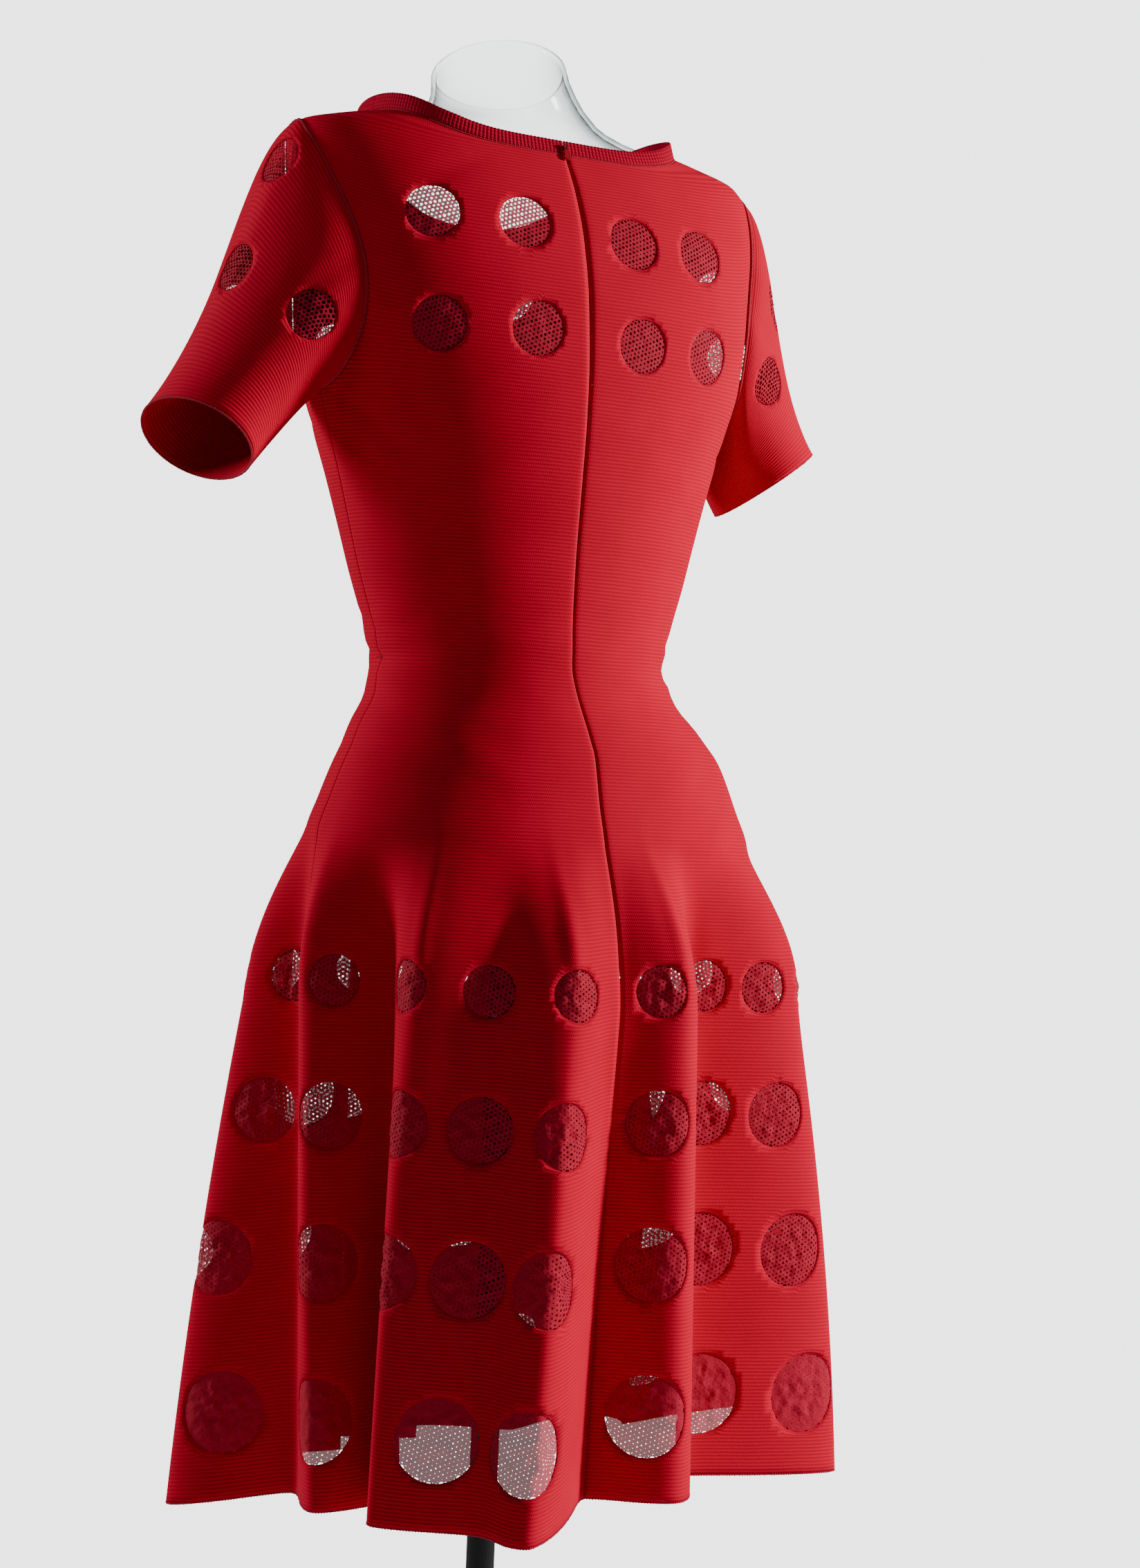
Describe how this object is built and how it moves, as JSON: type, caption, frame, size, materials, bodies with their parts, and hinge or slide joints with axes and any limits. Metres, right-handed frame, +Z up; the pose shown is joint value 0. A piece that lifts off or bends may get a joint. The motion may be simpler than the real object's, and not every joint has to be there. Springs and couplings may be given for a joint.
{
  "type": "flared knit dress on a clear torso form with a stand",
  "caption": "Red knitted dress with a fitted body, short sleeves, flared fluted skirt and back zip, worn by a clear limbless torso form on a black pole and round base.",
  "frame": {"origin": "centre of the base plate's underside, on the floor", "axes": "+Z up along the pole, -Y to the front of the dress, +X to the wearer's left"},
  "size_m": [0.5382, 0.3687, 1.4615],
  "materials": {
    "red_knit": "matt fine-ribbed knit with sheer lace dots",
    "red_rib": "matt ribbed knit",
    "zip_tape_red": "woven tape",
    "slider_metal": "bright",
    "pull_enamel": "satin",
    "clear_plastic": "clear, glossy",
    "clear_socket": "clear, glossy",
    "black_steel": "satin black"
  },
  "bodies": {
    "root": {"dress_front": "red_knit", "dress_back_left": "red_knit", "dress_back_right": "red_knit", "sleeve_left": "red_knit", "sleeve_right": "red_knit", "neckband_front": "red_rib", "neckband_back_left": "red_rib", "neckband_back_right": "red_rib", "zip_tape": "zip_tape_red", "zip_slider": "slider_metal", "form_torso": "clear_plastic", "form_socket": "clear_socket", "stand_pole": "black_steel", "stand_collar": "black_steel", "stand_base": "black_steel"},
    "pull": {"zip_pull": "pull_enamel"}
  },
  "joints": [
    {"name": "pull_hinge", "type": "hinge", "parent": "root", "child": "pull", "pos_m": [0.01012, 0.06158, 1.3834], "axis": [0.9991, 0, 0.0433], "range_deg": [0, 140]}
  ]
}
